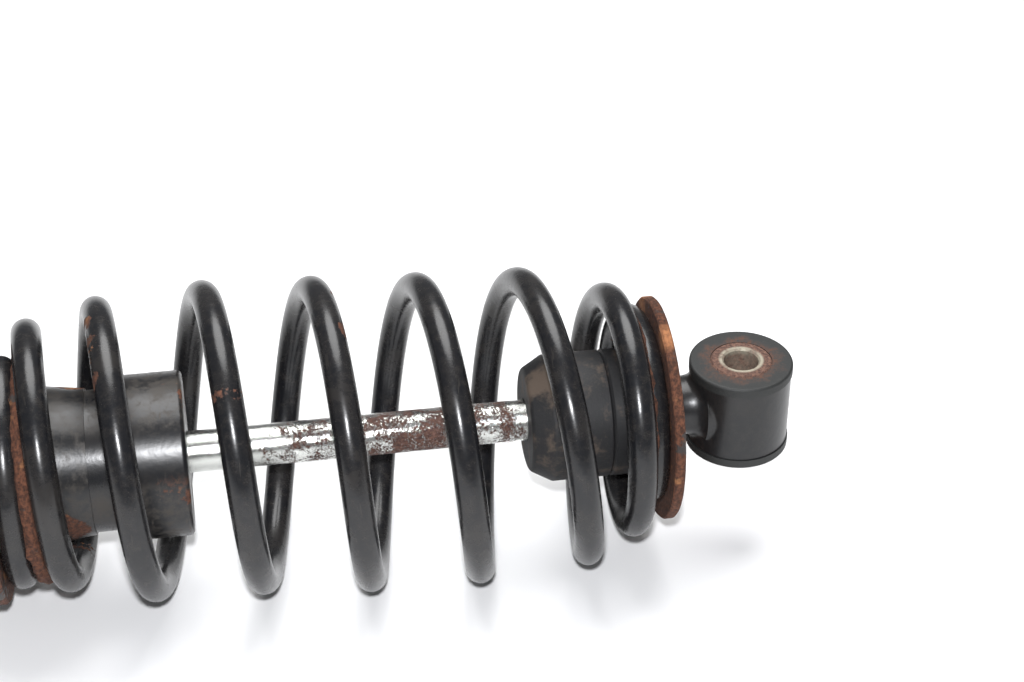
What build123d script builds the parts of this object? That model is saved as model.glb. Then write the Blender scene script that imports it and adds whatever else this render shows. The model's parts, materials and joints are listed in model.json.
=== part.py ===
from build123d import *
import math
import os

os.makedirs("parts", exist_ok=True)

# Rear shock absorber with a coil spring. Millimetres.
# Origin: centre of the body-end eye's bolt hole. +X runs to the rod-end eye, +Z along both bolts.

# ---- driving dimensions ------------------------------------------------------------------
EYE_TO_EYE = 335.0          # fully extended

# mounting eyes and bushes
EYE_R = 14.8                # outside of the steel barrel
EYE_BORE_R = 12.25
EYE_HALF_WIDTH = 11.3
STEM_R = 8.5
STEM_FLARE = 8.0            # length over which the stem narrows from the barrel
STEM_OVERLAP = 3.0
STEM_FILLET = 2.0           # rounding where the stem meets the barrel
BUSH_FLANGE_R = 15.15
BUSH_HALF_LENGTH = 14.2
BUSH_EDGE = 0.8             # rounding of the rubber flange
SLEEVE_R = 9.0
SLEEVE_BORE_R = 5.1         # for an M10 bolt
SLEEVE_HALF_LENGTH = 14.4
SLEEVE_CHAMFER = 0.5
FIT_GAP = 0.05              # radial gap of a running or slip fit

# damper body
TUBE_R = 20.2
TUBE_WALL = 2.0
BASE_X = 21.0               # outside face of the base
BASE_FLANGE = 5.0
BASE_PLUG = 3.0
BASE_CHAMFER = 2.2
CAP_R = 23.6
CAP_X0, CAP_X1 = 154.0, 174.0
CAP_WALL = 2.5              # thickness of the cap's end wall
CAP_LIP = 1.4               # rolled lip where the cap is crimped
CAP_HOLE_R = 6.6
TUBE_END_X = CAP_X1 - CAP_WALL - 0.1

# inside the damper
CYLINDER_R, CYLINDER_BORE_R = 15.5, 14.0
VALVE_FLANGE = 2.0
VALVE_PLUG = 3.0
GUIDE_X0, GUIDE_FACE_X, GUIDE_X1 = 154.0, 158.0, 166.0
BUSHING_R = 7.0
SEAL_X1 = 170.5
SEAL_GROOVE, SEAL_GROOVE_R0, SEAL_GROOVE_R1 = 2.0, 8.5, 12.0
BUSHING_GAP = 0.04          # radial running gap on the rod
ROD_CLEARANCE = 0.5
WASHER_THICKNESS = 0.9

# rod and piston
ROD_R = 6.0
ROD_CHAMFER = 0.6
SPIGOT_R = 4.0              # threaded rod end that carries the piston
THREAD_R = 5.0              # threaded rod end in the eye
THREAD_LENGTH = 5.5
THREAD_RUNOUT = 0.5
ROD_TIP_X = 130.0
NUT_X0, NUT_X1, NUT_AF = 131.5, 137.5, 13.0
PISTON_X0, PISTON_X1 = 138.5, 147.5
PISTON_R = 13.8
RING_WIDTH, RING_DEPTH = 4.0, 1.1
RING_R = 13.96
SHIM_THICKNESS, SHIM_GAP = 0.4, 0.1
SMALL_SHIM_R, LARGE_SHIM_R = 9.0, 11.5
REBOUND_X0, REBOUND_X1, REBOUND_R = 148.5, 153.5, 10.0
REBOUND_CHAMFER = 0.8
PORT_R, PORT_CIRCLE_R, PORT_COUNT = 1.3, 9.4, 8

# rod end
STOP_X0, STOP_X1 = 271.2, 308.8     # rubber bump stop
STOP_R, STOP_NOSE_R = 18.5, 14.9
STOP_BEVEL = 6.3
STOP_ROUNDING = 1.8         # of the two corners of the nose
STOP_GAP = 0.3              # radial gap round the rod
STOP_GROOVE_X, STOP_GROOVE = 294.4, 0.6
SEAT_DISC_R = 32.7
SEAT_DISC_X1 = 311.8
SEAT_DISC_EDGE = 0.5

# body-end spring seat and its preload cam
SEAT_X = 121.0              # face that the spring stands on
SEAT_FLANGE_R, SEAT_FLANGE = 37.8, 4.0
NECK_X, NECK_R0, NECK_R1 = 146.6, 24.6, 20.85
NECK_MIDDLE_X, NECK_MIDDLE_R = 134.0, 22.6
NECK_FOOT = 2.0             # bevel where the neck meets the flange
SEAT_EDGE = 0.8
SLIDE_GAP = 0.08            # radial gap of the seat and cam on the tube
CAM_R, CAM_RIM_R, CAM_RIM = 25.2, 28.5, 5.0
CAM_X1 = SEAT_X - SEAT_FLANGE - 0.1
CAM_STEPS, CAM_STEP_ANGLE, CAM_STEP_RISE = 5, 36.0, 1.75
CAM_NOTCH_GAP = 1.2         # play between a stop pin and its step
CAM_SLOT_COUNT, CAM_SLOT_WIDTH, CAM_SLOT_DEPTH = 6, 4.0, 2.2
CAM_SLOT_ANGLE = 30.0
PIN_X, PIN_R, PIN_TOP_R = 100.0, 3.0, 26.5
PIN_ROOT = 0.6              # depth of the pins in the tube wall

# spring
WIRE_R = 4.25
# turn, height of the wire's centre above the body-end seat, mean radius of the coil there
SPRING_STATIONS = (
    (0.12, 4.3, 29.9),      # lies flat on the body-end seat
    (0.30, 4.3, 30.9),
    (0.55, 4.7, 32.2),
    (0.80, 7.0, 33.4),
    (1.05, 10.6, 34.8),
    (1.50, 16.2, 36.2),
    (2.00, 27.8, 38.6),
    (2.50, 42.0, 40.6),
    (3.00, 57.4, 41.4),     # full coils
    (4.00, 87.9, 41.4),
    (5.00, 118.4, 41.4),
    (5.50, 133.7, 41.3),
    (6.00, 149.2, 40.8),
    (6.50, 164.6, 38.9),
    (7.00, 176.0, 34.9),
    (7.20, 177.9, 33.7),
    (7.45, 178.6, 32.3),
    (7.60, 179.3, 31.2),
    (7.80, 181.0, 29.6),
    (8.00, 182.7, 27.9),
    (8.20, 183.45, 26.6),   # lies flat on the rod-end seat
    (8.45, 183.5, 25.2),
)
POINTS_PER_TURN = 8
SPRING_PHASE = 41.4         # degrees from +Y towards +Z at a whole turn


# ---- helpers -----------------------------------------------------------------------------
def ring_sketch(outer, inner):
    """Circle with a round hole, added to the open sketch."""
    Circle(outer)
    Circle(inner, mode=Mode.SUBTRACT)


def across(x):
    """Plane square to the damper's axis at x."""
    return Plane.YZ.offset(x)


def save(part, name):
    part.label = name
    export_step(part, f"parts/{name}.step")


def slope_between(first, second, column):
    """Change of one column per turn from a spring station to the next."""
    return (second[column] - first[column]) / (second[0] - first[0])


def station_slope(index, column):
    """Slope at a station that keeps the curve from passing the stations' own values."""
    last = len(SPRING_STATIONS) - 1
    if index == 0:
        return slope_between(SPRING_STATIONS[0], SPRING_STATIONS[1], column)
    if index == last:
        return slope_between(SPRING_STATIONS[last - 1], SPRING_STATIONS[last], column)
    before = slope_between(SPRING_STATIONS[index - 1], SPRING_STATIONS[index], column)
    after = slope_between(SPRING_STATIONS[index], SPRING_STATIONS[index + 1], column)
    if before * after <= 0.0:
        return 0.0
    return 2.0 * before * after / (before + after)


def station_value(turn, column):
    """Smooth curve through the spring stations."""
    index = 0
    while index < len(SPRING_STATIONS) - 2 and turn > SPRING_STATIONS[index + 1][0]:
        index += 1
    low, high = SPRING_STATIONS[index], SPRING_STATIONS[index + 1]
    span = high[0] - low[0]
    t = (turn - low[0]) / span
    start = (1.0 + 2.0 * t) * (1.0 - t) ** 2 * low[column]
    end = t * t * (3.0 - 2.0 * t) * high[column]
    leaving = t * (1.0 - t) ** 2 * span * station_slope(index, column)
    arriving = t * t * (t - 1.0) * span * station_slope(index + 1, column)
    return start + end + leaving + arriving


# ---- mounting eyes, bushes and sleeves ---------------------------------------------------
def barrel_distance(edge, centre_x):
    """How far the middle of an edge lies outside the barrel of the eye at centre_x."""
    middle = edge @ 0.5
    return math.hypot(middle.X - centre_x, middle.Y) - EYE_R


def eye_part(centre_x, stem_x, thread_depth=0.0):
    """Barrel along Z at centre_x with a round stem to stem_x, drilled for the rod if asked."""
    side = 1.0 if stem_x > centre_x else -1.0
    flare_x = centre_x + side * (EYE_R - STEM_OVERLAP)
    with BuildPart() as eye:
        with BuildSketch(Plane.XY.offset(-EYE_HALF_WIDTH)):
            with Locations((centre_x, 0)):
                Circle(EYE_R)
        extrude(amount=2 * EYE_HALF_WIDTH)
        with BuildSketch(across(centre_x)):
            Circle(STEM_R)
        extrude(amount=stem_x - centre_x)
        with BuildSketch(Plane.XY):
            with BuildLine():
                flare = Spline(
                    (flare_x, EYE_HALF_WIDTH),
                    (flare_x + side * STEM_FLARE, STEM_R),
                    tangents=[(side * 0.45, -1.0), (side, 0.0)],
                )
                Polyline(
                    flare @ 1,
                    (flare_x + side * STEM_FLARE, 0),
                    (centre_x, 0),
                    (centre_x, EYE_HALF_WIDTH),
                    flare @ 0,
                )
            make_face()
        revolve(axis=Axis.X)
        with BuildSketch(Plane.XY.offset(-EYE_HALF_WIDTH)):
            with Locations((centre_x, 0)):
                Circle(EYE_BORE_R)
        extrude(amount=2 * EYE_HALF_WIDTH, mode=Mode.SUBTRACT)
        if thread_depth:
            with BuildSketch(across(stem_x)):
                Circle(THREAD_R + FIT_GAP)
            extrude(amount=-side * thread_depth, mode=Mode.SUBTRACT)
        seams = eye.edges().filter_by(GeomType.BSPLINE).filter_by(
            lambda edge: abs(barrel_distance(edge, centre_x)) < FIT_GAP
        )
        fillet(seams, STEM_FILLET)
    return eye


def bush_part(centre_x):
    """Rubber bush: a core in the barrel and a flange on each side of it."""
    with BuildPart() as bush:
        with BuildSketch(Plane.XY.offset(-EYE_HALF_WIDTH)):
            with Locations((centre_x, 0)):
                ring_sketch(EYE_BORE_R - FIT_GAP, SLEEVE_R + FIT_GAP)
        extrude(amount=2 * EYE_HALF_WIDTH)
        for start in (EYE_HALF_WIDTH, -BUSH_HALF_LENGTH):
            with BuildSketch(Plane.XY.offset(start)):
                with Locations((centre_x, 0)):
                    ring_sketch(BUSH_FLANGE_R, SLEEVE_R + FIT_GAP)
            extrude(amount=BUSH_HALF_LENGTH - EYE_HALF_WIDTH)
        rims = bush.edges().filter_by(GeomType.CIRCLE).filter_by(
            lambda edge: edge.radius > BUSH_FLANGE_R - 0.1
            and abs(edge.center().Z) > BUSH_HALF_LENGTH - 0.1
        )
        fillet(rims, BUSH_EDGE)
    return bush


def sleeve_part(centre_x):
    """Steel sleeve that the bolt clamps."""
    with BuildPart() as sleeve:
        with BuildSketch(Plane.XY.offset(-SLEEVE_HALF_LENGTH)):
            with Locations((centre_x, 0)):
                ring_sketch(SLEEVE_R, SLEEVE_BORE_R)
        extrude(amount=2 * SLEEVE_HALF_LENGTH)
        chamfer(sleeve.edges().filter_by(GeomType.CIRCLE), SLEEVE_CHAMFER)
    return sleeve


save(eye_part(0.0, BASE_X).part, "body_eye")
save(bush_part(0.0).part, "body_bush_rubber")
save(sleeve_part(0.0).part, "body_bush_sleeve")
save(bush_part(EYE_TO_EYE).part, "rod_bush_rubber")
save(sleeve_part(EYE_TO_EYE).part, "rod_bush_sleeve")
save(eye_part(EYE_TO_EYE, SEAT_DISC_X1, thread_depth=THREAD_LENGTH + THREAD_RUNOUT).part, "rod_eye")

# ---- damper body -------------------------------------------------------------------------
tube_bore_r = TUBE_R - TUBE_WALL
base_inner_x = BASE_X + BASE_FLANGE + BASE_PLUG

with BuildPart() as base_cap:
    with BuildSketch(across(BASE_X)):
        Circle(TUBE_R)
    extrude(amount=BASE_FLANGE)
    with BuildSketch(across(BASE_X + BASE_FLANGE)):
        Circle(tube_bore_r - FIT_GAP)
    extrude(amount=BASE_PLUG)
    chamfer(base_cap.faces().sort_by(Axis.X)[0].edges(), BASE_CHAMFER)
save(base_cap.part, "base_cap")

with BuildPart() as damper_tube:
    with BuildSketch(across(BASE_X + BASE_FLANGE)):
        ring_sketch(TUBE_R, tube_bore_r)
    extrude(amount=TUBE_END_X - BASE_X - BASE_FLANGE)
save(damper_tube.part, "damper_tube")

with BuildPart() as tube_cap:
    with BuildSketch(across(CAP_X0)):
        ring_sketch(CAP_R, TUBE_R + FIT_GAP)
    extrude(amount=CAP_X1 - CAP_X0)
    with BuildSketch(across(CAP_X1 - CAP_WALL)):
        ring_sketch(CAP_R, CAP_HOLE_R)
    extrude(amount=CAP_WALL)
    end_rims = tube_cap.edges().filter_by(GeomType.CIRCLE).filter_by(
        lambda edge: edge.radius > CAP_R - 0.1
    )
    fillet(end_rims, CAP_LIP)
save(tube_cap.part, "tube_cap")

with BuildPart() as cam_stop_pins:
    for side in (1, -1):
        with BuildSketch(Plane.XZ.offset(side * (TUBE_R - PIN_ROOT))):
            with Locations((PIN_X, 0)):
                Circle(PIN_R)
        extrude(amount=side * (PIN_TOP_R - TUBE_R + PIN_ROOT))
save(cam_stop_pins.part, "cam_stop_pins")

# ---- inside the damper -------------------------------------------------------------------
cylinder_x0 = base_inner_x + VALVE_FLANGE

with BuildPart() as base_valve:
    with BuildSketch(across(base_inner_x)):
        Circle(CYLINDER_R)
    extrude(amount=VALVE_FLANGE)
    with BuildSketch(across(cylinder_x0)):
        Circle(CYLINDER_BORE_R - FIT_GAP)
    extrude(amount=VALVE_PLUG)
    with BuildSketch(across(base_inner_x)):
        with PolarLocations(PORT_CIRCLE_R, PORT_COUNT):
            Circle(PORT_R)
    extrude(amount=VALVE_FLANGE + VALVE_PLUG, mode=Mode.SUBTRACT)
save(base_valve.part, "base_valve")

with BuildPart() as inner_cylinder:
    with BuildSketch(across(cylinder_x0)):
        ring_sketch(CYLINDER_R, CYLINDER_BORE_R)
    extrude(amount=GUIDE_FACE_X - cylinder_x0)
save(inner_cylinder.part, "inner_cylinder")

with BuildPart() as rod_guide:
    with BuildSketch(across(GUIDE_X0)):
        ring_sketch(CYLINDER_BORE_R - FIT_GAP, BUSHING_R + FIT_GAP)
    extrude(amount=GUIDE_FACE_X - GUIDE_X0)
    with BuildSketch(across(GUIDE_FACE_X)):
        ring_sketch(tube_bore_r - FIT_GAP, BUSHING_R + FIT_GAP)
    extrude(amount=GUIDE_X1 - GUIDE_FACE_X)
save(rod_guide.part, "rod_guide")

with BuildPart() as guide_bushing:
    with BuildSketch(across(GUIDE_X0 + 1.0)):
        ring_sketch(BUSHING_R, ROD_R + BUSHING_GAP)
    extrude(amount=GUIDE_X1 - GUIDE_X0 - 2.0)
save(guide_bushing.part, "guide_bushing")

with BuildPart() as oil_seal:
    with BuildSketch(across(GUIDE_X1)):
        ring_sketch(tube_bore_r - FIT_GAP, ROD_R + FIT_GAP)
    extrude(amount=SEAL_X1 - GUIDE_X1)
    with BuildSketch(across(SEAL_X1 - SEAL_GROOVE)):
        ring_sketch(SEAL_GROOVE_R1, SEAL_GROOVE_R0)
    extrude(amount=SEAL_GROOVE, mode=Mode.SUBTRACT)
save(oil_seal.part, "oil_seal")

with BuildPart() as seal_washer:
    with BuildSketch(across(SEAL_X1)):
        ring_sketch(tube_bore_r - FIT_GAP, ROD_R + ROD_CLEARANCE)
    extrude(amount=WASHER_THICKNESS)
save(seal_washer.part, "seal_washer")

# ---- rod and piston ----------------------------------------------------------------------
with BuildPart() as piston_rod:
    with BuildSketch(across(ROD_TIP_X)):
        Circle(SPIGOT_R)
    extrude(amount=REBOUND_X0 - ROD_TIP_X)
    with BuildSketch(across(REBOUND_X0)):
        Circle(ROD_R)
    extrude(amount=SEAT_DISC_X1 - REBOUND_X0)
    with BuildSketch(across(SEAT_DISC_X1)):
        Circle(THREAD_R)
    extrude(amount=THREAD_LENGTH)
    chamfer(piston_rod.faces().sort_by(Axis.X)[0].edges(), ROD_CHAMFER)
save(piston_rod.part, "piston_rod")

with BuildPart() as piston:
    with BuildSketch(across(PISTON_X0)):
        ring_sketch(PISTON_R, SPIGOT_R + FIT_GAP)
    extrude(amount=PISTON_X1 - PISTON_X0)
    with BuildSketch(across(PISTON_X0)):
        with PolarLocations(PORT_CIRCLE_R, PORT_COUNT):
            Circle(PORT_R)
    extrude(amount=PISTON_X1 - PISTON_X0, mode=Mode.SUBTRACT)
    with BuildSketch(across((PISTON_X0 + PISTON_X1 - RING_WIDTH) / 2)):
        ring_sketch(PISTON_R + 1.0, PISTON_R - RING_DEPTH)
    extrude(amount=RING_WIDTH, mode=Mode.SUBTRACT)
save(piston.part, "piston")

with BuildPart() as piston_ring:
    with BuildSketch(across((PISTON_X0 + PISTON_X1 - RING_WIDTH) / 2 + FIT_GAP)):
        ring_sketch(RING_R, PISTON_R - RING_DEPTH + FIT_GAP)
    extrude(amount=RING_WIDTH - 2 * FIT_GAP)
save(piston_ring.part, "piston_ring")

with BuildPart() as piston_nut:
    with BuildSketch(across(NUT_X0)):
        RegularPolygon(NUT_AF / 2, 6, major_radius=False)
        Circle(SPIGOT_R + FIT_GAP, mode=Mode.SUBTRACT)
    extrude(amount=NUT_X1 - NUT_X0)
save(piston_nut.part, "piston_nut")


def shim_stack(first_x, radii):
    """Thin spring-steel discs side by side, each a separate solid."""
    with BuildPart() as stack:
        for index, radius in enumerate(radii):
            with BuildSketch(across(first_x + index * (SHIM_THICKNESS + SHIM_GAP))):
                ring_sketch(radius, SPIGOT_R + FIT_GAP)
            extrude(amount=SHIM_THICKNESS)
    return stack


save(shim_stack(NUT_X1 + FIT_GAP, (SMALL_SHIM_R, LARGE_SHIM_R)).part, "compression_shims")
save(shim_stack(PISTON_X1 + FIT_GAP, (LARGE_SHIM_R, SMALL_SHIM_R)).part, "rebound_shims")

with BuildPart() as rebound_stop:
    with BuildSketch(across(REBOUND_X0)):
        ring_sketch(REBOUND_R, ROD_R + FIT_GAP)
    extrude(amount=REBOUND_X1 - REBOUND_X0)
    chamfer(rebound_stop.faces().sort_by(Axis.X)[-1].outer_wire().edges(), REBOUND_CHAMFER)
save(rebound_stop.part, "rebound_stop")

# ---- rod end: bump stop and spring seat --------------------------------------------------
with BuildPart() as bump_stop:
    with BuildSketch(Plane.XY):
        with BuildLine():
            Polyline(
                (STOP_X0, ROD_R + STOP_GAP),
                (STOP_X0, STOP_NOSE_R),
                (STOP_X0 + STOP_BEVEL, STOP_R),
                (STOP_GROOVE_X - STOP_GROOVE, STOP_R),
                (STOP_GROOVE_X, STOP_R - STOP_GROOVE),
                (STOP_GROOVE_X + STOP_GROOVE, STOP_R),
                (STOP_X1, STOP_R),
                (STOP_X1, ROD_R + STOP_GAP),
                close=True,
            )
        make_face()
    revolve(axis=Axis.X)
    nose_rims = bump_stop.edges().filter_by(GeomType.CIRCLE).filter_by(
        lambda edge: edge.radius > STOP_NOSE_R - 0.1
        and edge.center().X < STOP_X0 + STOP_BEVEL + 0.1
    )
    fillet(nose_rims, STOP_ROUNDING)
save(bump_stop.part, "bump_stop")

with BuildPart() as rod_seat:
    with BuildSketch(across(STOP_X1)):
        ring_sketch(SEAT_DISC_R, ROD_R + FIT_GAP)
    extrude(amount=SEAT_DISC_X1 - STOP_X1)
    disc_rims = rod_seat.edges().filter_by(GeomType.CIRCLE).filter_by(
        lambda edge: edge.radius > SEAT_DISC_R - 0.1
    )
    chamfer(disc_rims, SEAT_DISC_EDGE)
save(rod_seat.part, "rod_seat")

# ---- body-end seat and preload cam -------------------------------------------------------
slide_bore_r = TUBE_R + SLIDE_GAP

with BuildPart() as body_seat:
    with BuildSketch(Plane.XY):
        with BuildLine():
            Polyline(
                (SEAT_X - SEAT_FLANGE, slide_bore_r),
                (SEAT_X - SEAT_FLANGE, SEAT_FLANGE_R - SEAT_EDGE),
                (SEAT_X - SEAT_FLANGE + SEAT_EDGE, SEAT_FLANGE_R),
                (SEAT_X - SEAT_EDGE, SEAT_FLANGE_R),
                (SEAT_X, SEAT_FLANGE_R - SEAT_EDGE),
                (SEAT_X, NECK_R0 + NECK_FOOT),
                (SEAT_X + NECK_FOOT, NECK_R0),
                (NECK_MIDDLE_X, NECK_MIDDLE_R),
                (NECK_X, NECK_R1),
                (NECK_X, slide_bore_r),
                close=True,
            )
        make_face()
    revolve(axis=Axis.X)
save(body_seat.part, "body_seat")


def sector_corners(middle_angle):
    """Triangle from the axis that covers one cam step."""
    reach = CAM_R * 1.6
    edges = (middle_angle - CAM_STEP_ANGLE / 2, middle_angle + CAM_STEP_ANGLE / 2)
    rim = [(reach * math.cos(math.radians(a)), reach * math.sin(math.radians(a))) for a in edges]
    return [(0.0, 0.0)] + rim


with BuildPart() as preload_cam:
    with BuildSketch(across(CAM_X1 - CAM_RIM)):
        ring_sketch(CAM_RIM_R, slide_bore_r)
        with PolarLocations(CAM_RIM_R, CAM_SLOT_COUNT, start_angle=CAM_SLOT_ANGLE):
            Rectangle(2 * CAM_SLOT_DEPTH, CAM_SLOT_WIDTH, mode=Mode.SUBTRACT)
    extrude(amount=CAM_RIM)
    for lobe in range(2):
        for step in range(CAM_STEPS):
            step_x = PIN_X + PIN_R + CAM_NOTCH_GAP - step * CAM_STEP_RISE
            with BuildSketch(across(step_x)):
                ring_sketch(CAM_R, slide_bore_r)
                Polygon(
                    *sector_corners(lobe * 180.0 - step * CAM_STEP_ANGLE),
                    align=None,
                    mode=Mode.INTERSECT,
                )
            extrude(amount=CAM_X1 - CAM_RIM - step_x)
save(preload_cam.part, "preload_cam")


# ---- spring ------------------------------------------------------------------------------
def spring_point(turn):
    """Centre of the wire at a turn count; the coil is right-handed about +X."""
    angle = 2 * math.pi * turn + math.radians(SPRING_PHASE)
    radius = station_value(turn, 2)
    x = SEAT_X + station_value(turn, 1)
    return (x, radius * math.cos(angle), radius * math.sin(angle))


first_turn, last_turn = SPRING_STATIONS[0][0], SPRING_STATIONS[-1][0]
point_count = round((last_turn - first_turn) * POINTS_PER_TURN)
turn_step = (last_turn - first_turn) / point_count
turns = [first_turn + turn_step * i for i in range(point_count + 1)]

with BuildPart() as spring:
    with BuildLine() as wire_path:
        Spline(*[spring_point(turn) for turn in turns])
    with BuildSketch(Plane(origin=wire_path.line @ 0, z_dir=wire_path.line % 0)):
        Circle(WIRE_R)
    sweep(path=wire_path.line, is_frenet=True)
save(spring.part, "spring")
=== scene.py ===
import json
import math

import bpy
import numpy as np
from mathutils import Matrix, Vector, noise


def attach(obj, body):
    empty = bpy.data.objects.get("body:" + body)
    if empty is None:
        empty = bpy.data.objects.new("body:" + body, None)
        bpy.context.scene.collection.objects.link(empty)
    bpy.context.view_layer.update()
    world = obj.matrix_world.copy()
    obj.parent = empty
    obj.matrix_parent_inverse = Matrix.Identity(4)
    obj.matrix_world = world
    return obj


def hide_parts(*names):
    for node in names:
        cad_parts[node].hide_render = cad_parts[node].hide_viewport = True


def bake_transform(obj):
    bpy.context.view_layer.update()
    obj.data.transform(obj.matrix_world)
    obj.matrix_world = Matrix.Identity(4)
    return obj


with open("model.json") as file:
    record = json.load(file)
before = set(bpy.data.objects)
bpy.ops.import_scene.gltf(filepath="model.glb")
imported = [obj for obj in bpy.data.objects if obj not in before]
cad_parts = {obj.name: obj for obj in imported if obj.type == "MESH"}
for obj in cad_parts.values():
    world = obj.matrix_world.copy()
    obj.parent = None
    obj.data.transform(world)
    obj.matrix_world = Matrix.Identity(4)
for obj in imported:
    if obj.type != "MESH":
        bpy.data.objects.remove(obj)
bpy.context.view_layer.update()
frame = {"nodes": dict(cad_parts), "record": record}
MM = 0.001

# ---- dimensions shared with the CAD part, in millimetres ----------------------------------
EYE_TO_EYE = 335.0
SEAT_X = 121.0                  # face of the body-end spring seat

# ---- spring, in millimetres and turns -----------------------------------------------------
WIRE_R = 4.22
# turn, height of the wire's centre above the body-end seat, mean radius of the coil there
SPRING_STATIONS = (
    (0.12, 4.3, 29.9),
    (0.30, 4.3, 30.9),
    (0.55, 4.7, 32.2),
    (0.80, 7.0, 33.4),
    (1.05, 10.6, 34.8),
    (1.50, 17.8, 35.4),
    (2.00, 27.8, 38.6),
    (2.50, 42.0, 40.6),
    (3.00, 57.4, 41.4),
    (3.50, 72.7, 40.7),
    (4.00, 87.9, 41.4),
    (5.00, 118.4, 41.4),
    (5.50, 133.7, 41.3),
    (6.00, 149.2, 40.8),
    (6.50, 164.6, 38.9),
    (7.00, 176.0, 34.9),
    (7.20, 177.9, 33.7),
    (7.45, 178.6, 32.3),
    (7.60, 179.3, 31.2),
    (7.80, 181.0, 29.6),
    (8.00, 182.7, 27.9),
    (8.20, 183.45, 26.6),
    (8.45, 183.5, 25.2),
)
TURN_START, TURN_END = SPRING_STATIONS[0][0], SPRING_STATIONS[-1][0]
SPLIT_TURN = 2.0                # the wire is made in two pieces, split at this turn
CLOSED_PITCH = 8.9              # least distance from a coil to the next
SPRING_PHASE = 41.4             # degrees from +Y towards +Z at turn 0
# how far the coil sits off the damper's axis at a turn
LEAN_STATIONS = (
    (0.0, 2.1), (0.6, 2.4), (1.2, 3.2), (2.0, 3.6), (3.0, 3.0),
    (4.0, 1.6), (5.0, 0.0), (6.0, -0.4), (7.0, -1.0), (8.5, -0.4),
)
LEAN_ANGLE = 55.0               # degrees from +Y towards +Z
# how far along the damper a coil's upper side is ahead of its middle, at a turn
TILT_STATIONS = (
    (0.0, 0.0), (0.8, 0.3), (1.5, 0.7), (2.0, 1.8), (3.0, 2.0),
    (4.0, 2.4), (5.0, 2.0), (6.0, 0.9), (7.0, 0.3), (8.0, 0.0), (8.5, 0.0),
)
RINGS_PER_TURN = 72
RING_POINTS = 32
# size of each ring and its distance past the end, in wire radii, at a rounded end
ROUND_END = ((0.93, 0.16), (0.78, 0.32), (0.45, 0.42))
DIRECTION_STEP = 1e-3           # turns either side of a ring that give the wire's direction
SHARP_ANGLE = 60.0
# lumps of rust scale: how many per millimetre, and how strong
SCALE_LUMPS = ((0.9, 1.0), (2.3, 0.5))
SCALE_HEIGHT = 0.9
SEAM_TIP = 0.2                  # thickness of a rust seam's ends, as a share of its middle
SEAM_TAPER = 0.25               # share of the seam's length over which each end tapers
# seams of rust scale between an end turn and the next: name, turns, thickness, body
RUST_SEAMS = (
    ("seam_body_end", TURN_START, 0.74, 2.3, "spring_seat"),
    ("seam_rod_end", 6.98, TURN_END - 1.0, 2.7, "rod"),
)


def slope_between(first, second, column):
    return (second[column] - first[column]) / (second[0] - first[0])


def station_slope(stations, index, column):
    """Slope at a station that keeps the curve from passing the stations' own values."""
    last = len(stations) - 1
    if index == 0:
        return slope_between(stations[0], stations[1], column)
    if index == last:
        return slope_between(stations[last - 1], stations[last], column)
    before = slope_between(stations[index - 1], stations[index], column)
    after = slope_between(stations[index], stations[index + 1], column)
    if before * after <= 0.0:
        return 0.0
    return 2.0 * before * after / (before + after)


def station_value(stations, turn, column):
    """Smooth curve through the stations."""
    index = 0
    while index < len(stations) - 2 and turn > stations[index + 1][0]:
        index += 1
    low, high = stations[index], stations[index + 1]
    span = high[0] - low[0]
    t = (turn - low[0]) / span
    start = (1.0 + 2.0 * t) * (1.0 - t) ** 2 * low[column]
    end = t * t * (3.0 - 2.0 * t) * high[column]
    leaving = t * (1.0 - t) ** 2 * span * station_slope(stations, index, column)
    arriving = t * t * (t - 1.0) * span * station_slope(stations, index + 1, column)
    return start + end + leaving + arriving


def openness(turn, step=0.02):
    """Room between the coils below this turn, which is what closes up under load."""
    total = 0.0
    heights = [
        station_value(SPRING_STATIONS, TURN_START + step * i, 1)
        for i in range(int(round((turn - TURN_START) / step)) + 1)
    ]
    for low, high in zip(heights, heights[1:]):
        total += max(0.0, high - low - CLOSED_PITCH * step)
    return total


def spring_point(turn):
    angle = 2 * math.pi * turn + math.radians(SPRING_PHASE)
    radius = station_value(SPRING_STATIONS, turn, 2)
    lean = station_value(LEAN_STATIONS, turn, 1)
    lean_angle = math.radians(LEAN_ANGLE)
    tilt = station_value(TILT_STATIONS, turn, 1) * math.cos(angle - lean_angle)
    return Vector((
        SEAT_X + station_value(SPRING_STATIONS, turn, 1) + tilt,
        radius * math.cos(angle) + lean * math.cos(lean_angle),
        radius * math.sin(angle) + lean * math.sin(lean_angle),
    ))


# ---- material building --------------------------------------------------------------------
SOCKETS = {
    "colour": "Base Color",
    "metal": "Metallic",
    "rough": "Roughness",
    "specular": "Specular IOR Level",
}


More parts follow.
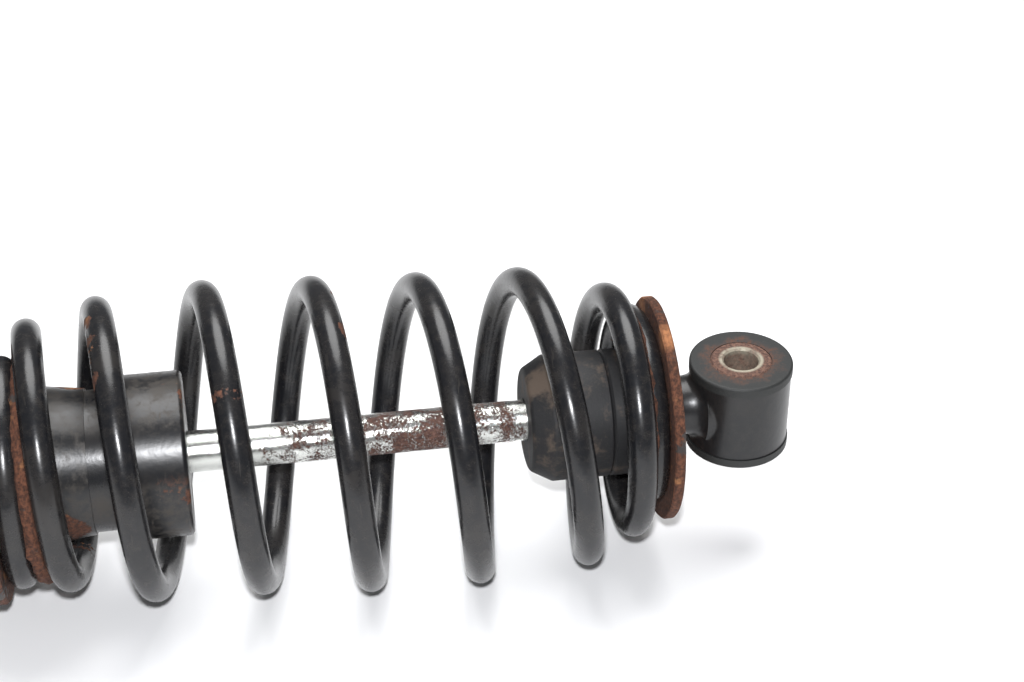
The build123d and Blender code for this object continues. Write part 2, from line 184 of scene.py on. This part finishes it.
class Surface:
    """One procedural material, built node by node."""

    def __init__(self, name):
        self.material = bpy.data.materials.new(name)
        self.material.use_nodes = True
        self.tree = self.material.node_tree
        self.shader = self.tree.nodes["Principled BSDF"]
        self.place = self.tree.nodes.new("ShaderNodeTexCoord").outputs["Object"]
        split = self.tree.nodes.new("ShaderNodeSeparateXYZ")
        self.tree.links.new(self.place, split.inputs[0])
        self.x, self.y, self.z = split.outputs

    def put(self, socket, value):
        """Links a node output, or sets a plain value."""
        if isinstance(value, bpy.types.NodeSocket):
            self.tree.links.new(value, socket)
        elif hasattr(value, "__len__") and len(value) == 3 and socket.type == "RGBA":
            socket.default_value = (*value, 1.0)
        else:
            socket.default_value = value

    def set(self, **values):
        for key, value in values.items():
            self.put(self.shader.inputs[SOCKETS[key]], value)

    def math(self, operation, a, b=0.0):
        node = self.tree.nodes.new("ShaderNodeMath")
        node.operation = operation
        self.put(node.inputs[0], a)
        self.put(node.inputs[1], b)
        return node.outputs[0]

    def times(self, a, b):
        return self.math("MULTIPLY", a, b)

    def plus(self, a, b):
        return self.math("ADD", a, b)

    def largest(self, first, *others):
        for other in others:
            first = self.math("MAXIMUM", first, other)
        return first

    def noise(self, size_mm, detail=4.0, rough=0.55, seed=0.0, stretch=(1.0, 1.0, 1.0)):
        """Noise with features of about size_mm; stretch lengthens them along an axis."""
        mapping = self.tree.nodes.new("ShaderNodeMapping")
        mapping.inputs["Location"].default_value = (seed, seed * 0.7, -seed * 0.4)
        mapping.inputs["Scale"].default_value = [1.0 / (size_mm * MM * s) for s in stretch]
        self.put(mapping.inputs["Vector"], self.place)
        node = self.tree.nodes.new("ShaderNodeTexNoise")
        self.put(node.inputs["Vector"], mapping.outputs[0])
        node.inputs["Scale"].default_value = 1.0
        node.inputs["Detail"].default_value = detail
        node.inputs["Roughness"].default_value = rough
        return node.outputs["Fac"]

    def cells(self, size_mm, seed=0.0):
        """Distance to the nearest of scattered points about size_mm apart."""
        mapping = self.tree.nodes.new("ShaderNodeMapping")
        mapping.inputs["Location"].default_value = (seed, -seed, seed * 0.3)
        mapping.inputs["Scale"].default_value = [1.0 / (size_mm * MM)] * 3
        self.put(mapping.inputs["Vector"], self.place)
        node = self.tree.nodes.new("ShaderNodeTexVoronoi")
        self.put(node.inputs["Vector"], mapping.outputs[0])
        node.inputs["Scale"].default_value = 1.0
        return node.outputs["Distance"]

    def step(self, value, low, high, out_low=0.0, out_high=1.0):
        """Smooth step of value from low to high."""
        node = self.tree.nodes.new("ShaderNodeMapRange")
        node.interpolation_type = "SMOOTHSTEP"
        self.put(node.inputs["Value"], value)
        node.inputs["From Min"].default_value = low
        node.inputs["From Max"].default_value = high
        node.inputs["To Min"].default_value = out_low
        node.inputs["To Max"].default_value = out_high
        return node.outputs["Result"]

    def band(self, value, low, high, soft):
        """1 between low and high, fading to 0 over soft on both sides."""
        rise = self.step(value, low - soft, low + soft)
        fall = self.step(value, high - soft, high + soft, 1.0, 0.0)
        return self.times(rise, fall)

    def mix(self, share, a, b):
        node = self.tree.nodes.new("ShaderNodeMix")
        node.data_type = "RGBA"
        self.put(node.inputs[0], share)
        self.put(node.inputs[6], a)
        self.put(node.inputs[7], b)
        return node.outputs[2]

    def blend_value(self, share, a, b):
        """a where share is 0, b where it is 1, as plain numbers."""
        return self.step(share, 0.0, 1.0, a, b)

    def bump(self, height, depth_mm, under=None):
        node = self.tree.nodes.new("ShaderNodeBump")
        node.inputs["Strength"].default_value = 1.0
        node.inputs["Distance"].default_value = depth_mm * MM
        self.put(node.inputs["Height"], height)
        if under is not None:
            self.put(node.inputs["Normal"], under)
        self.tree.links.new(node.outputs[0], self.shader.inputs["Normal"])
        return node.outputs[0]

    def patch(self, middle_mm, radius_mm, soft_mm):
        """1 near a point, fading to 0 over soft_mm past its radius."""
        node = self.tree.nodes.new("ShaderNodeVectorMath")
        node.operation = "DISTANCE"
        self.put(node.inputs[0], self.place)
        node.inputs[1].default_value = [value * MM for value in middle_mm]
        distance = node.outputs["Value"]
        return self.step(distance, radius_mm * MM, (radius_mm + soft_mm) * MM, 1.0, 0.0)

    def raised(self, value, amount, share):
        """value with share times amount added."""
        return self.plus(value, self.times(share, amount))

    def off_stripe(self, clean_mm, dirty_mm):
        """0 along the stripe of the damper that faces the camera, 1 above and below it."""
        across = self.plus(
            self.times(self.y, ACROSS_STRIPE[0]),
            self.times(self.z, ACROSS_STRIPE[1]),
        )
        return self.step(self.math("ABSOLUTE", across), clean_mm * MM, dirty_mm * MM)

    def bolt_distance(self):
        """Distance from the nearer of the two bolts' axes, in metres."""
        across = []
        for bolt_x in (0.0, EYE_TO_EYE * MM):
            along = self.math("SUBTRACT", self.x, bolt_x)
            squares = self.plus(self.times(along, along), self.times(self.y, self.y))
            across.append(self.math("SQRT", squares))
        return self.math("MINIMUM", *across)

    def rust_colour(self, seed=0.0, bright=0.5):
        """Brown rust, darker in the hollows, with orange patches where bright is higher."""
        fine = self.noise(1.1, 6.0, 0.7, seed + 3.1)
        broad = self.noise(9.0, 4.0, 0.6, seed + 7.7)
        brown = self.mix(self.step(fine, 0.35, 0.68), RUST_DARK, RUST_MID)
        orange_from = 0.72 - 0.3 * bright
        orange = self.step(broad, orange_from, orange_from + 0.14)
        return self.mix(orange, brown, RUST_BRIGHT)


# ---- colours ------------------------------------------------------------------------------
SPRING_BLACK = (0.0070, 0.0073, 0.0088)
EYE_BLACK = (0.0080, 0.0082, 0.0092)
TUBE_BLACK = (0.0070, 0.0074, 0.0090)
CAP_BLACK = (0.0070, 0.0072, 0.0085)
SEAT_BLACK = (0.0075, 0.0076, 0.0086)
COLLAR_BLACK = (0.020, 0.020, 0.021)
OLD_PAINT = (0.030, 0.024, 0.022)
DUST = (0.120, 0.100, 0.078)
RUST_DARK = (0.034, 0.015, 0.010)
RUST_MID = (0.135, 0.052, 0.028)
RUST_BRIGHT = (0.32, 0.145, 0.060)
RUST_FRESH = (0.34, 0.145, 0.062)
CHROME = (0.66, 0.67, 0.64)
PIT_DARK = (0.030, 0.013, 0.010)
PIT_BROWN = (0.135, 0.062, 0.043)
PIT_PALE = (0.40, 0.30, 0.22)
SLEEVE_DARK = (0.045, 0.022, 0.017)
SLEEVE_BROWN = (0.190, 0.100, 0.070)
SLEEVE_WORN = (0.34, 0.31, 0.24)
BUSH_BLACK = (0.0125, 0.0135, 0.0130)
BUSH_DUST = (0.090, 0.080, 0.066)
BUSH_STAIN = (0.105, 0.048, 0.030)
BUMP_BLACK = (0.0085, 0.0085, 0.0095)
BUMP_DIRT = (0.150, 0.108, 0.078)
SEAL_BLACK = (0.015, 0.015, 0.015)
RING_BROWN = (0.10, 0.07, 0.05)
STEEL = (0.56, 0.56, 0.57)
ZINC = (0.50, 0.49, 0.46)
SINTERED_IRON = (0.28, 0.28, 0.29)
BRONZE = (0.55, 0.36, 0.18)

# ---- where the wear is, in millimetres ----------------------------------------------------
# direction across the damper's clean stripe, the one that faces the camera, in Y and Z
ACROSS_STRIPE = (0.569, 0.822)
STRIPE_CLEAN, STRIPE_DIRTY = 4.0, 13.0
# stretches of the rod, and how much more they have rusted
ROD_RUST = ((197, 216, 0.070), (216, 270, 0.080), (228, 250, 0.030))
# rusty stretches of painted pieces: from x, to x, strength
SPRING_END_RUST = ((100, 131, 0.05), (300, 309, 0.05))
STEM_RUST = ((311, 320, 0.05),)
TUBE_RUST = ((100, 150, 0.07),)
CAP_RUST = ((173, 176, 0.10), (152, 156, 0.05))
FLANGE_RUST = ((112, 123, 0.22),)
# patches: middle, reach, strength
NECK_PATCHES = (((143, 12, 17), 5.0, 0.20), ((137, -19, -9), 9.0, 0.17))
BUMP_PATCHES = (((277, -4, 17), 9.0, 0.26), ((303, 2, 18), 7.0, 0.22))
# bright new rust on the rod-end seat and the scale beside it: middle, reach
FRESH_RUST = (
    ((310, -9, 31), 4.0), ((310, 18, 26), 4.5), ((301, -20, 15), 4.0), ((301, -25, 4), 4.0),
)
# bare rusty rings and spots on the wire: turn, distance off the wire's centre along the
# damper, reach, strength
SPRING_CHIPS = (
    (0.70, 0.0, 7.0, 0.17), (1.62, 0.0, 6.0, 0.17), (1.85, 3.0, 4.0, 0.15),
    (2.13, -3.6, 4.6, 0.20), (2.17, -3.4, 5.8, 0.25), (2.21, -3.2, 4.0, 0.17),
    (3.09, 3.4, 3.6, 0.17), (3.12, -3.0, 3.0, 0.15), (3.242, 0.0, 5.0, 0.235),
    (4.11, 3.4, 3.4, 0.15), (4.17, 3.6, 4.2, 0.18), (4.21, 3.6, 3.6, 0.16),
    (5.15, 3.2, 3.4, 0.15), (5.62, 0.0, 5.4, 0.15), (6.86, 0.0, 6.5, 0.15),
    (7.75, 0.0, 8.5, 0.19), (7.98, 0.0, 8.0, 0.17), (8.12, -3.0, 5.0, 0.19),
)


def chip_patches():
    """Middle, reach and strength of every chip on the wire."""
    return [
        (spring_point(turn) + Vector((aside, 0.0, 0.0)), reach, strength)
        for turn, aside, reach, strength in SPRING_CHIPS
    ]


# ---- materials ----------------------------------------------------------------------------
PAINT_GONE = 0.72               # wear at which paint has gone
PAINT_EDGE = 0.045              # how softly a bare spot ends
ROUGH_DIRT = 0.80


def paint_wear(s, seed, zones, patches):
    """How worn the paint is at each place: noise, raised in the zones and patches."""
    coarse = s.noise(14.0, 5.0, 0.62, seed)
    fine = s.noise(1.6, 5.0, 0.7, seed + 5.0)
    wear = s.plus(s.times(coarse, 0.62), s.times(fine, 0.38))
    for low, high, extra in zones:
        wear = s.raised(wear, extra, s.band(s.x, low * MM, high * MM, 2.5 * MM))
    for middle, reach, extra in patches:
        wear = s.raised(wear, extra, s.patch(middle, reach * 0.8, reach * 0.35))
    return wear


def paint_dirt(s, seed, dust):
    """Share of dirt on the paint: a film, broad grime, specks and dusty scratches."""
    film = s.step(s.noise(3.2, 8.0, 0.72, seed + 9.0), 0.40, 0.70, 0.0, dust)
    grime = s.times(s.step(s.noise(19.0, 6.0, 0.7, seed + 12.0), 0.46, 0.66), dust)
    specks = s.step(s.cells(1.9, seed + 2.0), 0.03, 0.13, dust * 1.6, 0.0)
    scratches = s.noise(1.3, 3.0, 0.5, seed + 15.0, stretch=(1.0, 9.0, 9.0))
    scuffed = s.step(scratches, 0.66, 0.72, 0.0, dust)
    return s.largest(grime, specks, film, scuffed)


def painted(name, paint, gloss, chips, dust, seed, zones=(), patches=(), depth=0.12, clean_front_stripe=False):
    """Black paint on steel. chips is the share of bare rusty spots. Each zone
    (low x, high x, extra) and each patch (middle, reach, extra), in millimetres, adds to it.
    The last option leaves much less dust and no rust along the stripe that faces the camera, and all of
    it above and below."""
    s = Surface(name)
    gone = PAINT_GONE - chips
    rusty = s.step(paint_wear(s, seed, zones, patches), gone, gone + PAINT_EDGE)
    dirty = paint_dirt(s, seed, dust)
    # much less dust and no rust along the stripe that faces the camera
    if clean_front_stripe:
        left = s.off_stripe(STRIPE_CLEAN, STRIPE_DIRTY)
        dirty = s.times(dirty, s.blend_value(left, 0.22, 1.0))
        rusty = s.times(rusty, left)
    s.set(
        colour=s.mix(rusty, s.mix(dirty, paint, DUST), s.rust_colour(seed)),
        rough=s.blend_value(s.largest(rusty, s.times(dirty, 1.8)), gloss, ROUGH_DIRT),
        specular=0.42,
    )
    orange_peel = s.bump(s.noise(2.4, 3.0, 0.55, seed + 4.0), 0.045)
    pitted = s.times(rusty, s.noise(0.8, 4.0, 0.7, seed + 6.0))
    s.bump(s.raised(pitted, -0.6, rusty), depth, orange_peel)
    return s.material


def rusted_plate(name, seed, paint_left, fresh):
    """Plate with its paint almost gone; paint_left is the share that remains. Each fresh patch
    (middle, reach), in millimetres, has bright new rust."""
    s = Surface(name)
    broad = s.noise(11.0, 6.0, 0.66, seed)
    flakes = s.step(broad, 0.34 + paint_left, 0.39 + paint_left, 1.0, 0.0)
    scale = s.noise(1.3, 7.0, 0.72, seed + 2.0)
    mottled = s.step(scale, 0.36, 0.62, 0.35, 1.0)
    rust = s.rust_colour(seed, 0.45)
    for middle, reach in fresh:
        near = s.times(s.patch(middle, reach * 0.5, reach), mottled)
        rust = s.mix(near, rust, RUST_FRESH)
    s.set(colour=s.mix(flakes, rust, OLD_PAINT), rough=s.blend_value(flakes, 0.93, 0.55), specular=0.35)
    s.bump(s.raised(scale, 0.35, flakes), 0.35)
    return s.material


def rubber(name, colour, dirt_colour, dirt, seed, patches=()):
    """Dull rubber. Each patch (middle, reach, strength), in millimetres, is caked with dirt."""
    s = Surface(name)
    mottle = s.noise(7.0, 6.0, 0.68, seed)
    for middle, reach, extra in patches:
        mottle = s.raised(mottle, extra, s.patch(middle, reach * 0.3, reach * 0.9))
    caked = s.times(s.step(mottle, 0.50, 0.74), dirt)
    specks = s.step(s.noise(0.8, 6.0, 0.8, seed + 3.0), 0.60, 0.72, 0.0, dirt * 0.8)
    dusty = s.largest(caked, specks)
    s.set(colour=s.mix(dusty, colour, dirt_colour), rough=s.blend_value(dusty, 0.62, 0.92), specular=0.4)
    s.bump(s.noise(0.7, 4.0, 0.65, seed + 1.5), 0.09)
    return s.material


def bush_rubber(name):
    """Rubber of the two bushes, stained by rust round the steel sleeve."""
    s = Surface(name)
    fine = s.noise(0.9, 7.0, 0.75, 91.0)
    broad = s.noise(6.0, 5.0, 0.62, 94.0)
    ragged = s.times(s.math("SUBTRACT", broad, 0.5), 14.0 * MM)
    reach = s.plus(s.bolt_distance(), ragged)
    stain = s.times(s.step(reach, 9.0 * MM, 13.0 * MM, 0.85, 0.0), s.step(fine, 0.36, 0.60))
    dust = s.step(fine, 0.55, 0.75, 0.0, 0.22)
    s.set(
        colour=s.mix(stain, s.mix(dust, BUSH_BLACK, BUSH_DUST), BUSH_STAIN),
        rough=s.blend_value(stain, 0.60, 0.90),
    )
    s.bump(fine, 0.07)
    return s.material


def bare_metal(name, colour, rough, seed, tarnish=0.25):
    """Turned metal with fine marks round it and a patchy dull film."""
    s = Surface(name)
    marks = s.noise(1.2, 4.0, 0.6, seed, stretch=(8.0, 1.0, 1.0))
    film = s.times(s.step(s.noise(10.0, 5.0, 0.6, seed + 2.0), 0.45, 0.7), tarnish)
    dull = tuple(channel * 0.35 for channel in colour)
    s.set(
        colour=s.mix(film, colour, dull),
        rough=s.blend_value(marks, rough * 0.8, rough * 1.3),
        metal=1.0,
    )
    s.bump(marks, 0.01)
    return s.material


def pitted_chrome(name):
    """Hard chrome that has rusted through over the rod's middle."""
    s = Surface(name)
    fine = s.noise(0.65, 9.0, 0.82, 1.7)
    coarse = s.noise(5.5, 6.0, 0.68, 4.2)
    wear = s.plus(s.times(fine, 0.6), s.times(coarse, 0.4))
    for low, high, extra in ROD_RUST:
        wear = s.raised(wear, extra, s.band(s.x, low * MM, high * MM, 5.0 * MM))
    rusty = s.step(wear, 0.570, 0.595)
    hollow = s.step(s.noise(0.9, 7.0, 0.8, 5.5), 0.38, 0.64)
    pale = s.step(s.noise(1.1, 7.0, 0.8, 8.8), 0.62, 0.70)
    rust = s.mix(pale, s.mix(hollow, PIT_DARK, PIT_BROWN), PIT_PALE)
    s.set(
        colour=s.mix(rusty, CHROME, rust),
        rough=s.blend_value(rusty, 0.16, 0.80),
        metal=s.blend_value(rusty, 1.0, 0.0),
    )
    s.bump(s.raised(rusty, 0.6, fine), 0.16)
    return s.material


def sleeve_metal(name):
    """Steel sleeve: brown rust, a worn pale ring round the mouth of the hole."""
    s = Surface(name)
    grain = s.noise(0.8, 8.0, 0.78, 3.3)
    broad = s.noise(3.0, 5.0, 0.6, 6.1)
    rust = s.mix(s.step(grain, 0.36, 0.66), SLEEVE_DARK, SLEEVE_BROWN)
    ring = s.step(s.bolt_distance(), 6.0 * MM, 6.9 * MM, 1.0, 0.0)
    mouth = s.step(s.math("ABSOLUTE", s.z), 12.2 * MM, 13.6 * MM, 0.30, 1.0)
    worn = s.times(s.times(ring, mouth), s.step(broad, 0.34, 0.60, 0.25, 0.95))
    s.set(
        colour=s.mix(worn, rust, SLEEVE_WORN),
        rough=s.blend_value(worn, 0.88, 0.50),
        metal=s.blend_value(worn, 0.0, 0.3),
    )
    s.bump(grain, 0.10)
    return s.material


MATERIALS = {
    "spring_paint": painted(
        "spring_paint", SPRING_BLACK, gloss=0.25, chips=0.03, dust=0.10, seed=11.0,
        zones=SPRING_END_RUST, patches=chip_patches(),
    ),
    "eye_paint": painted(
        "eye_paint", EYE_BLACK, gloss=0.32, chips=0.0, dust=0.06, seed=23.0,
        zones=STEM_RUST, depth=0.06,
    ),
    "tube_paint": painted(
        "tube_paint", TUBE_BLACK, gloss=0.27, chips=0.07, dust=0.27, seed=31.0,
        zones=TUBE_RUST, clean_front_stripe=True,
    ),
    "cap_paint": painted(
        "cap_paint", CAP_BLACK, gloss=0.30, chips=0.12, dust=0.32, seed=43.0,
        zones=CAP_RUST, clean_front_stripe=True,
    ),
    "seat_paint": painted(
        "seat_paint", SEAT_BLACK, gloss=0.31, chips=0.08, dust=0.24, seed=57.0,
        zones=FLANGE_RUST, patches=NECK_PATCHES, depth=0.3,
    ),
    "cam_zinc": painted("cam_zinc", COLLAR_BLACK, gloss=0.42, chips=0.06, dust=0.40, seed=61.0),
    "rusty_steel": rusted_plate("rusty_steel", seed=71.0, paint_left=0.03, fresh=FRESH_RUST),
    "bump_rubber": rubber("bump_rubber", BUMP_BLACK, BUMP_DIRT, 0.50, 83.0, BUMP_PATCHES),
    "seal_rubber": rubber("seal_rubber", SEAL_BLACK, DUST, 0.1, 95.0),
    "ring_plastic": rubber("ring_plastic", RING_BROWN, DUST, 0.1, 117.0),
    "bush_rubber": bush_rubber("bush_rubber"),
    "rod_chrome": pitted_chrome("rod_chrome"),
    "sleeve_steel": sleeve_metal("sleeve_steel"),
    "bare_steel": bare_metal("bare_steel", STEEL, 0.30, 103.0),
    "zinc_steel": bare_metal("zinc_steel", ZINC, 0.40, 107.0, tarnish=0.5),
    "cast_guide": bare_metal("cast_guide", SINTERED_IRON, 0.55, 109.0),
    "guide_bronze": bare_metal("guide_bronze", BRONZE, 0.35, 113.0),
}

slot_of = {entry["node"]: entry["material_slot"] for entry in frame["record"]["subparts"]}
for node_name, node in frame["nodes"].items():
    node.data.materials.clear()
    node.data.materials.append(MATERIALS[slot_of[node_name]])


# ---- spring -------------------------------------------------------------------------------
def mesh_object(name, vertices, faces, material):
    mesh = bpy.data.meshes.new(name)
    mesh.from_pydata([tuple(vertex) for vertex in vertices], [], faces)
    mesh.validate()
    mesh.materials.append(material)
    made = bpy.data.objects.new(name, mesh)
    bpy.context.scene.collection.objects.link(made)
    return made


def ring_vertices(centre, ahead, radius, lump_mm):
    """Points of one ring square to the direction ahead, in metres."""
    side = ahead.cross(Vector((1.0, 0.0, 0.0))).normalized()
    up = side.cross(ahead)
    vertices = []
    for k in range(RING_POINTS):
        angle = 2 * math.pi * k / RING_POINTS
        away = side * math.cos(angle) + up * math.sin(angle)
        point = centre + away * radius
        lump = sum(strength * noise.noise(point * rate) for rate, strength in SCALE_LUMPS)
        vertices.append((point + away * lump_mm * lump) * MM)
    return vertices


def tube_faces(rings):
    """Faces between neighbouring rings, and one face across each end."""
    faces = []
    for ring in range(rings - 1):
        for k in range(RING_POINTS):
            a = ring * RING_POINTS + k
            b = ring * RING_POINTS + (k + 1) % RING_POINTS
            faces.append((a, b, b + RING_POINTS, a + RING_POINTS))
    last = (rings - 1) * RING_POINTS
    faces.append(tuple(range(RING_POINTS))[::-1])
    faces.append(tuple(range(last, last + RING_POINTS)))
    return faces


def tube_mesh(name, centres, radii, slot, lump_mm=0.0):
    """Closed tube through the centres, all in millimetres; lump_mm roughens its surface."""
    vertices = []
    for i, (centre, radius) in enumerate(zip(centres, radii)):
        before, after = centres[max(i - 1, 0)], centres[min(i + 1, len(centres) - 1)]
        vertices += ring_vertices(centre, (after - before).normalized(), radius, lump_mm)
    made = mesh_object(name, vertices, tube_faces(len(centres)), MATERIALS[slot])
    made.data.shade_smooth()
    made.data.set_sharp_from_angle(angle=math.radians(SHARP_ANGLE))
    return made


def turns_between(first_turn, last_turn):
    count = round((last_turn - first_turn) * RINGS_PER_TURN)
    return [first_turn + (last_turn - first_turn) * i / count for i in range(count + 1)]


def wire_mesh(name, first_turn, last_turn, round_start, round_end, share_of):
    """Length of the wire. Returns the object and, for each vertex, share_of(turn)."""
    rings = [(turn, 1.0, 0.0) for turn in turns_between(first_turn, last_turn)]
    if round_start:
        rings = [(first_turn, size, -offset) for size, offset in reversed(ROUND_END)] + rings
    if round_end:
        rings = rings + [(last_turn, size, offset) for size, offset in ROUND_END]
    centres = []
    for turn, size, offset in rings:
        ahead = spring_point(turn + DIRECTION_STEP) - spring_point(turn - DIRECTION_STEP)
        centres.append(spring_point(turn) + ahead.normalized() * WIRE_R * offset)
    radii = [WIRE_R * size for turn, size, offset in rings]
    made = tube_mesh(name, centres, radii, "spring_paint")
    shares = np.repeat([share_of(turn) for turn, size, offset in rings], RING_POINTS)
    return made, shares.astype(np.float32)


def rust_seam(name, first_turn, last_turn, thickness, body):
    """Scale that has grown in the groove between a turn and the next."""
    centres, radii = [], []
    for turn in turns_between(first_turn, last_turn):
        along = (turn - first_turn) / (last_turn - first_turn)
        full = min(1.0, min(along, 1.0 - along) / SEAM_TAPER)
        centres.append((spring_point(turn) + spring_point(turn + 1.0)) / 2)
        radii.append(thickness * (SEAM_TIP + (1.0 - SEAM_TIP) * full))
    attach(tube_mesh(name, centres, radii, "rusty_steel", SCALE_HEIGHT), body)


def follow_by_turn(piece):
    """Bakes the wire's placement into its mesh."""
    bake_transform(piece)


split_open = openness(SPLIT_TURN)
whole_open = openness(TURN_END)
lower, lower_shares = wire_mesh(
    "spring_body_end", TURN_START, SPLIT_TURN, True, False,
    lambda turn: openness(turn) / split_open,
)
upper, upper_shares = wire_mesh(
    "spring_rod_end", SPLIT_TURN, TURN_END, False, True,
    lambda turn: (openness(turn) - split_open) / (whole_open - split_open),
)
follow_by_turn(lower)
follow_by_turn(upper)
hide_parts("spring")
for seam in RUST_SEAMS:
    rust_seam(*seam)

# ---- floor, light and camera, in metres ---------------------------------------------------
FLOOR_Z = -0.0462
FLOOR_HALF = 6.0
FLOOR_SQUARES = 8
FLOOR_WHITE = (0.86, 0.86, 0.87)
FLOOR_WARM_WHITE = (0.89, 0.89, 0.88)


def floor_material():
    s = Surface("table_white")
    faint = s.noise(60.0, 4.0, 0.6, 2.0)
    s.set(colour=s.mix(faint, FLOOR_WHITE, FLOOR_WARM_WHITE), rough=0.55, specular=0.2)
    return s.material


def floor_mesh():
    places = [FLOOR_HALF * (2 * i / FLOOR_SQUARES - 1) for i in range(FLOOR_SQUARES + 1)]
    vertices = [(x, y, FLOOR_Z) for y in places for x in places]
    row = FLOOR_SQUARES + 1
    faces = [
        (j * row + i, j * row + i + 1, (j + 1) * row + i + 1, (j + 1) * row + i)
        for j in range(FLOOR_SQUARES) for i in range(FLOOR_SQUARES)
    ]
    return mesh_object("table", vertices, faces, floor_material())


floor_mesh()

CAMERA_AZIMUTH, CAMERA_ELEVATION, CAMERA_ROLL = -9.155, 34.695, 0.052
CAMERA_DISTANCE = 0.6227
CAMERA_TARGET = Vector((0.2674, -0.0002, 0.0284))
SENSOR_MM, FOCAL_MM = 36.0, 77.3
CLIP_START, CLIP_END = 0.01, 50.0


def outward(azimuth, elevation):
    """Direction from the object; azimuth 0 is towards -Y."""
    a, e = math.radians(azimuth), math.radians(elevation)
    return Vector((math.sin(a) * math.cos(e), -math.cos(a) * math.cos(e), math.sin(e)))


def aim(made, place, target, roll=0.0):
    made.location = place
    turn = (target - place).to_track_quat("-Z", "Y").to_matrix()
    made.rotation_euler = (turn @ Matrix.Rotation(math.radians(roll), 3, "Z")).to_euler()


camera_data = bpy.data.cameras.new("camera")
camera_data.sensor_width = SENSOR_MM
camera_data.lens = FOCAL_MM
camera_data.clip_start = CLIP_START
camera_data.clip_end = CLIP_END
camera = bpy.data.objects.new("camera", camera_data)
bpy.context.scene.collection.objects.link(camera)
CAMERA_PLACE = CAMERA_TARGET + outward(CAMERA_AZIMUTH, CAMERA_ELEVATION) * CAMERA_DISTANCE
aim(camera, CAMERA_PLACE, CAMERA_TARGET, CAMERA_ROLL)
bpy.context.scene.camera = camera

MIDDLE = Vector((0.22, 0.0, 0.0))
OVERHEAD_PLACE = MIDDLE + Vector((0.1, 0.45, 1.3))
FLASH_PLACE = CAMERA_PLACE + Vector((0.0, 0.025, 0.040))
OVERHEAD_COLOUR = (1.0, 1.0, 1.0)
FLASH_COLOUR = (0.96, 0.97, 1.0)
ROOM_COLOUR = (0.95, 0.97, 1.0, 1.0)
ROOM_STRENGTH = 0.22


def area_light(name, place, size, power, colour):
    data = bpy.data.lights.new(name, "AREA")
    data.shape = "DISK"
    data.size = size
    data.energy = power
    data.color = colour
    made = bpy.data.objects.new(name, data)
    bpy.context.scene.collection.objects.link(made)
    aim(made, place, MIDDLE)


area_light("overhead", OVERHEAD_PLACE, size=1.2, power=25.0, colour=OVERHEAD_COLOUR)
area_light("flash", FLASH_PLACE, size=0.03, power=4.6, colour=FLASH_COLOUR)

world = bpy.data.worlds.new("room")
world.use_nodes = True
background = world.node_tree.nodes["Background"]
background.inputs["Color"].default_value = ROOM_COLOUR
background.inputs["Strength"].default_value = ROOM_STRENGTH
bpy.context.scene.world = world
bpy.context.scene.view_settings.view_transform = "Standard"
